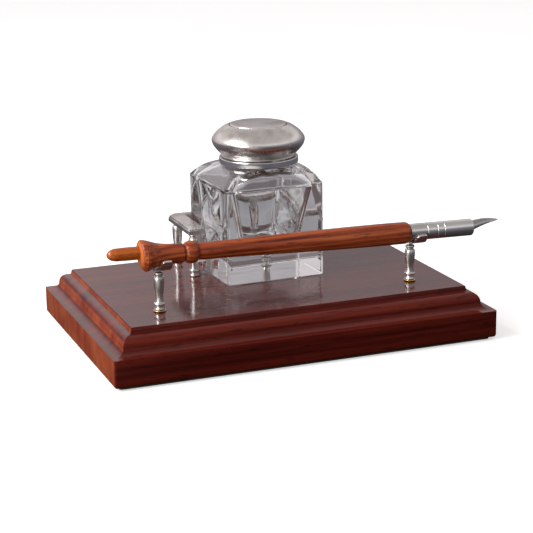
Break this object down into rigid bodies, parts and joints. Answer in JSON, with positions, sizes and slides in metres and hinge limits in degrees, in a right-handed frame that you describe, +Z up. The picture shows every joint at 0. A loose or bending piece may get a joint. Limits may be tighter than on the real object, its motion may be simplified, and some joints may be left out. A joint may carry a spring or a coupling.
{
  "type": "desk inkstand",
  "caption": "Desk inkstand: moulded wooden plinth with a square glass inkwell under a hinged metal lid, in a low legged gallery, and a dip pen lying on two forked rests.",
  "frame": {"origin": "on the desk surface, under the middle of the plinth's baize pad", "axes": "+X along the plinth's long side towards the pen's nib, +Y from the pen towards the inkwell's hinge, +Z up"},
  "size_m": [0.206, 0.1294, 0.0993],
  "materials": {
    "mahogany": "dark red-brown wood under a glossy lacquer, slightly mauve where it mirrors the room",
    "baize": "green baize glued under the plinth",
    "pewter": "warm grey satin pewter, lightly tarnished",
    "brass": "plain turned brass",
    "steel": "plain steel screw",
    "nickel": "polished nickel-silver",
    "glass": "clear thick pressed glass",
    "cement": "white plaster bedding",
    "cork": "cork sheet",
    "rosewood": "polished red-brown turned wood with orange grain",
    "amber_wood": "glossy amber-coloured turned wood",
    "nib_steel": "pressed nib steel, slightly darkened"
  },
  "bodies": {
    "stand": {"baize_pad": "baize", "gallery_leg_back_left": "pewter", "gallery_leg_back_right": "pewter", "gallery_leg_front_left": "pewter", "gallery_leg_front_right": "pewter", "gallery_leg_middle_left": "pewter", "gallery_leg_middle_right": "pewter", "gallery_rail": "pewter", "leg_screw_back_left": "steel", "leg_screw_back_right": "steel", "leg_screw_front_left": "steel", "leg_screw_front_right": "steel", "leg_screw_middle_left": "steel", "leg_screw_middle_right": "steel", "plinth": "mahogany", "rest_fork_left": "pewter", "rest_fork_right": "pewter", "rest_post_left": "pewter", "rest_post_right": "pewter", "rest_screw_left": "steel", "rest_screw_right": "steel", "rest_washer_left": "brass", "rest_washer_right": "brass"},
    "inkwell": {"glass_bottle": "glass", "collar_cement": "cement", "collar": "nickel", "hinge_pin": "steel"},
    "lid": {"lid_shell": "pewter", "lid_disc": "pewter", "lid_liner": "pewter", "lid_seal": "cork"},
    "pen": {"pen_handle": "rosewood", "pen_finial": "amber_wood", "brass_tenon": "brass", "pen_ferrule": "nickel", "nib_collet": "brass"},
    "nib": {"nib": "nib_steel"}
  },
  "joints": [
    {"name": "inkwell_lift", "type": "slide", "parent": "stand", "child": "inkwell", "axis": [0, 0, 1], "range_m": [0, 0.06]},
    {"name": "lid_hinge", "type": "hinge", "parent": "inkwell", "child": "lid", "pos_m": [0.00384, 0.03846, 0.08305], "axis": [-0.9992, -0.0401, 0], "range_deg": [0, 110]},
    {"name": "pen_lift", "type": "slide", "parent": "stand", "child": "pen", "axis": [0, 0, 1], "range_m": [0, 0.05]},
    {"name": "nib_pull", "type": "slide", "parent": "pen", "child": "nib", "axis": [0.9998, 0, -0.0212], "range_m": [0, 0.0105]}
  ]
}
